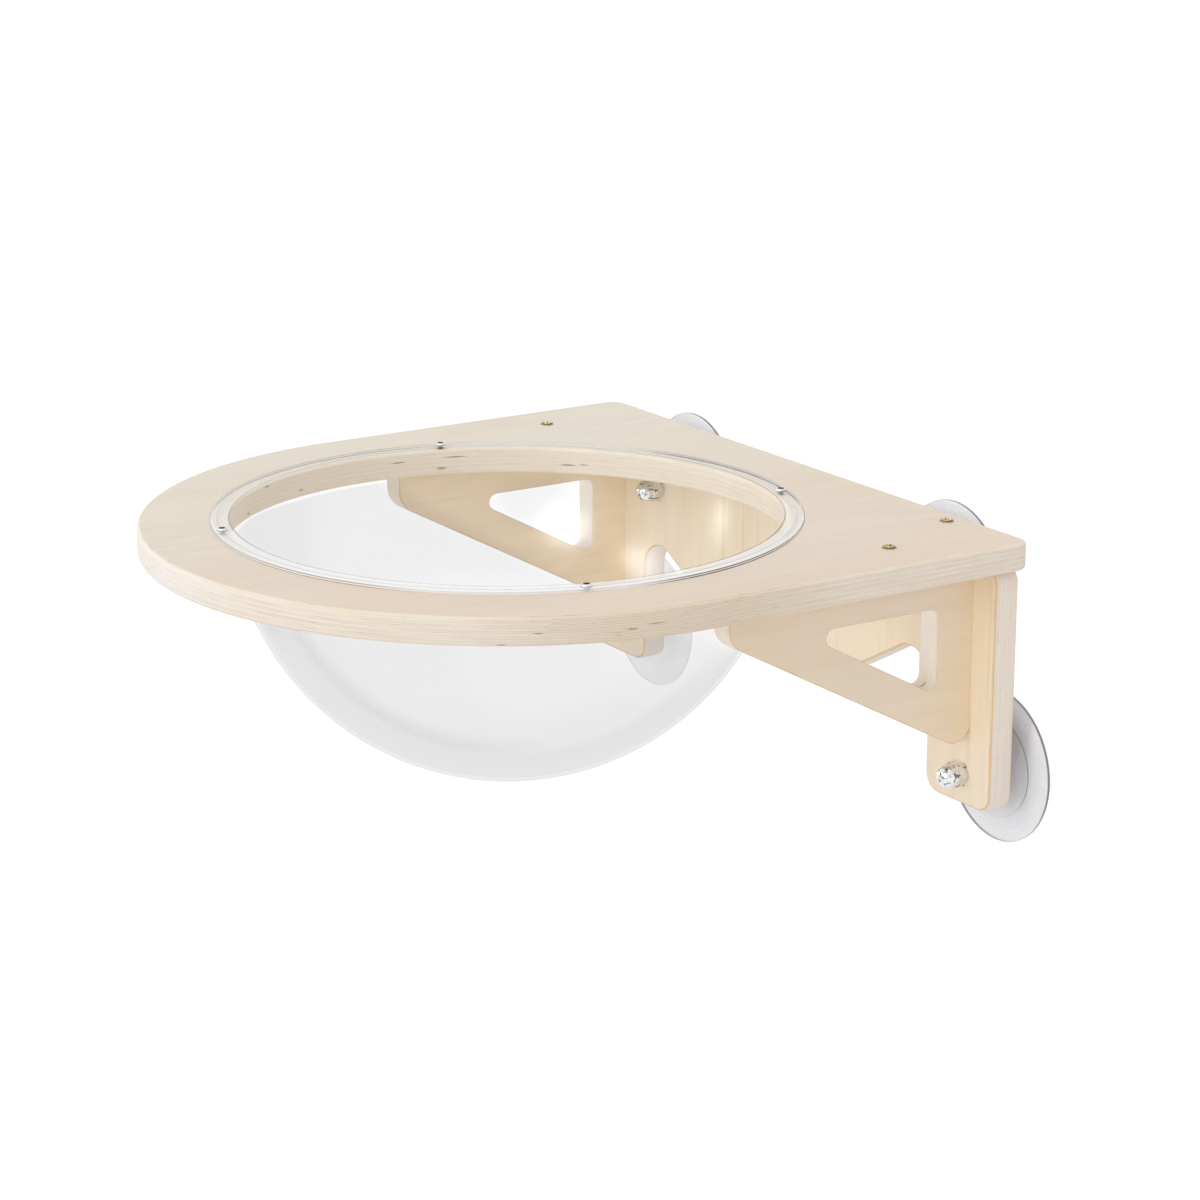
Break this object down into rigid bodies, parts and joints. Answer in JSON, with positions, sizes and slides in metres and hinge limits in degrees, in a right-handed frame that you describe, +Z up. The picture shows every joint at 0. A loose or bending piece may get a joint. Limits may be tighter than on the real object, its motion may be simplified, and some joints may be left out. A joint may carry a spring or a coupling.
{
  "type": "window-mounted cat perch with clear bowl",
  "caption": "Cat bed for a window: a clear bowl let into a D-shaped plywood board on brackets and a back panel, held to the pane by suction cups with cap nuts.",
  "frame": {"origin": "on the face of the window, midway between the four suction cups", "axes": "+X to the right for someone facing the window, +Y into the window, +Z up"},
  "size_m": [0.424, 0.41, 0.182],
  "materials": {
    "plywood": "sanded bare birch plywood, matt",
    "clear_acrylic": "clear, glossy",
    "steel_screws": "bright zinc plate",
    "brass_screws": "yellow zinc plate, satin",
    "soft_pvc": "clear soft plastic, slightly milky",
    "zinc_plate": "zinc plated thread",
    "chrome_plate": "bright chrome"
  },
  "bodies": {
    "perch_frame": {"platform_board": "plywood", "acrylic_bowl": "clear_acrylic", "bowl_screw_1": "steel_screws", "bowl_screw_2": "steel_screws", "bowl_screw_3": "steel_screws", "bowl_screw_4": "steel_screws", "bracket_left": "plywood", "bracket_right": "plywood", "back_panel": "plywood", "bracket_top_screw_left": "brass_screws", "bracket_top_screw_right": "brass_screws", "panel_top_screw": "brass_screws", "bracket_rear_screw_left_upper": "brass_screws", "bracket_rear_screw_left_lower": "brass_screws", "bracket_rear_screw_right_upper": "brass_screws", "bracket_rear_screw_right_lower": "brass_screws"},
    "cup_upper_left": {"suction_cup_upper_left": "soft_pvc", "cup_stud_upper_left": "zinc_plate"},
    "nut_upper_left": {"cap_nut_upper_left": "chrome_plate"},
    "cup_upper_right": {"suction_cup_upper_right": "soft_pvc", "cup_stud_upper_right": "zinc_plate"},
    "nut_upper_right": {"cap_nut_upper_right": "chrome_plate"},
    "cup_lower_left": {"suction_cup_lower_left": "soft_pvc", "cup_stud_lower_left": "zinc_plate"},
    "nut_lower_left": {"cap_nut_lower_left": "chrome_plate"},
    "cup_lower_right": {"suction_cup_lower_right": "soft_pvc", "cup_stud_lower_right": "zinc_plate"},
    "nut_lower_right": {"cap_nut_lower_right": "chrome_plate"}
  },
  "joints": [
    {"name": "nut_turn_upper_left", "type": "hinge", "parent": "perch_frame", "child": "nut_upper_left", "pos_m": [-0.125, -0.034, 0.048], "axis": [0, -1, 0], "range_deg": [0, 2520]},
    {"name": "cup_travel_upper_left", "type": "slide", "parent": "perch_frame", "child": "cup_upper_left", "axis": [0, 1, 0], "range_m": [0, 0.00875]},
    {"name": "nut_turn_upper_right", "type": "hinge", "parent": "perch_frame", "child": "nut_upper_right", "pos_m": [0.125, -0.034, 0.048], "axis": [0, -1, 0], "range_deg": [0, 2520]},
    {"name": "cup_travel_upper_right", "type": "slide", "parent": "perch_frame", "child": "cup_upper_right", "axis": [0, 1, 0], "range_m": [0, 0.00875]},
    {"name": "nut_turn_lower_left", "type": "hinge", "parent": "perch_frame", "child": "nut_lower_left", "pos_m": [-0.169, -0.034, -0.048], "axis": [0, -1, 0], "range_deg": [0, 2520]},
    {"name": "cup_travel_lower_left", "type": "slide", "parent": "perch_frame", "child": "cup_lower_left", "axis": [0, 1, 0], "range_m": [0, 0.00875]},
    {"name": "nut_turn_lower_right", "type": "hinge", "parent": "perch_frame", "child": "nut_lower_right", "pos_m": [0.169, -0.034, -0.048], "axis": [0, -1, 0], "range_deg": [0, 2520]},
    {"name": "cup_travel_lower_right", "type": "slide", "parent": "perch_frame", "child": "cup_lower_right", "axis": [0, 1, 0], "range_m": [0, 0.00875]}
  ],
  "couplings": [
    {"joint": "nut_turn_upper_left", "follows": "cup_travel_upper_left", "rad_per_m": 5026.5},
    {"joint": "nut_turn_upper_right", "follows": "cup_travel_upper_right", "rad_per_m": 5026.5},
    {"joint": "nut_turn_lower_left", "follows": "cup_travel_lower_left", "rad_per_m": 5026.5},
    {"joint": "nut_turn_lower_right", "follows": "cup_travel_lower_right", "rad_per_m": 5026.5}
  ]
}
